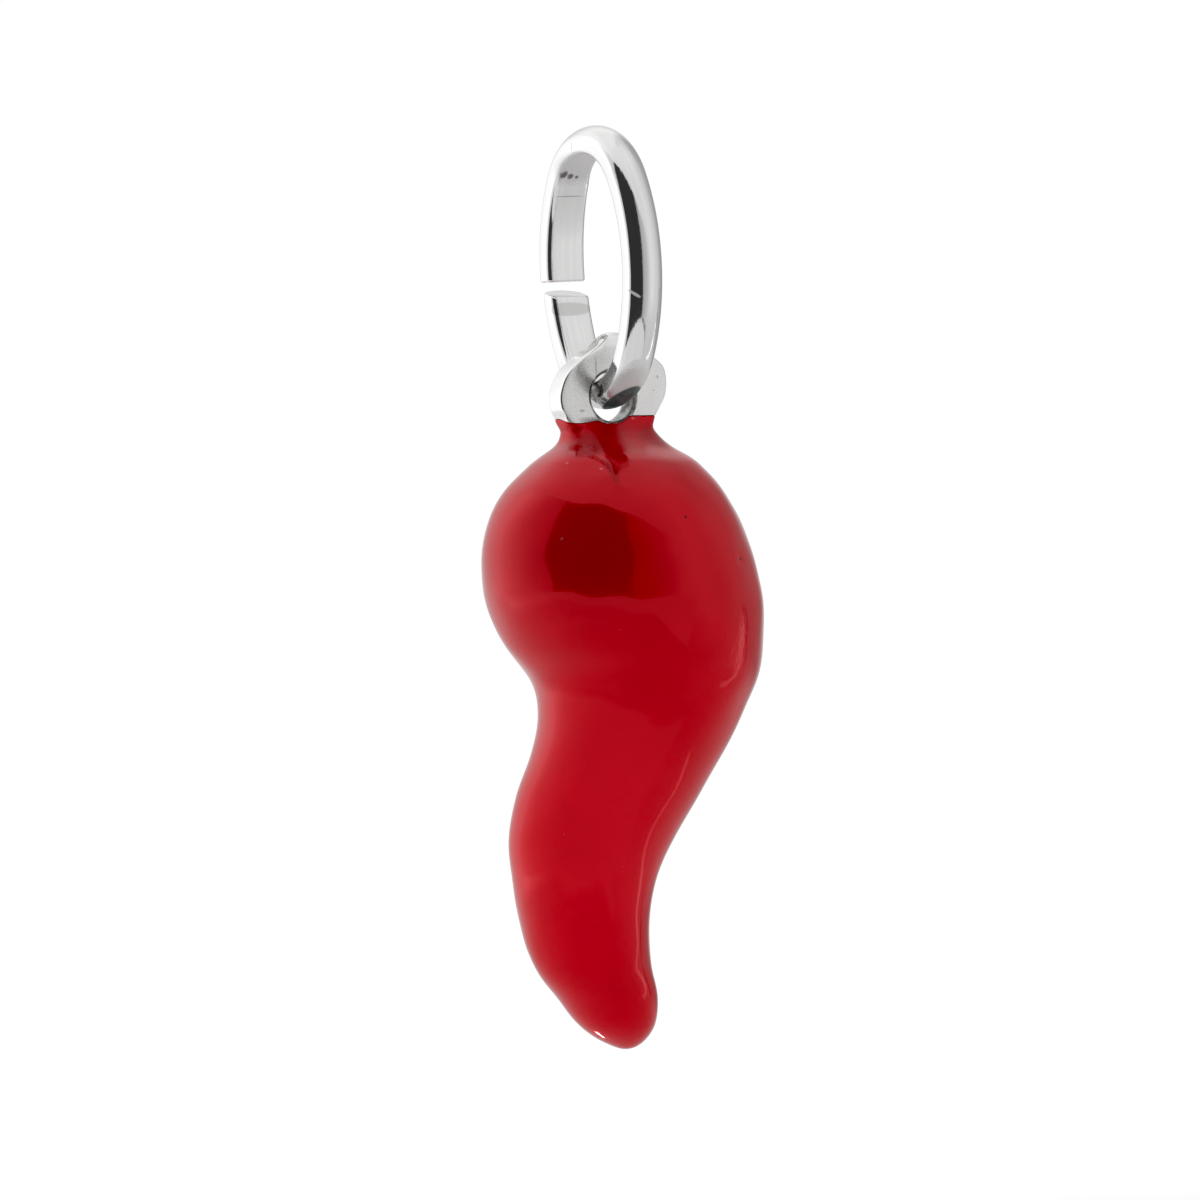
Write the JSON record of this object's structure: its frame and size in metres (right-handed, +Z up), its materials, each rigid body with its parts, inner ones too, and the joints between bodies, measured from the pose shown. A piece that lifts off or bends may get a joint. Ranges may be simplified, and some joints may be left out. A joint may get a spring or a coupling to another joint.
{
  "type": "cornicello horn pendant with an open oval bail",
  "caption": "S-curved enamelled horn charm with a flat onion-shaped metal eye, hanging and swinging on an open oval bail of half-round wire.",
  "frame": {"origin": "highest point inside the oval bail, where a chain or cord bears", "axes": "+Z up along the hanging pendant; the chain passes along X through the bail, whose oval lies in the YZ plane; the horn's S curve and its flat eye lie in the XZ plane, with the horn's tip towards -X of its bulb"},
  "size_m": [0.008, 0.0072, 0.0257],
  "materials": {
    "polished_silver": "bright polished silver wire with faint scratches",
    "cast_silver": "polished silver casting, a little softer than the wire",
    "red_enamel": "glossy opaque red enamel with a slightly uneven surface"
  },
  "bodies": {
    "bail": {"bail": "polished_silver"},
    "pendant": {"horn_core": "cast_silver", "enamel_coat": "red_enamel"}
  },
  "joints": [
    {"name": "pendant_swing", "type": "hinge", "parent": "bail", "child": "pendant", "pos_m": [0, 0, -0.00675], "axis": [0, 1, 0], "range_deg": [-120, 120]}
  ]
}
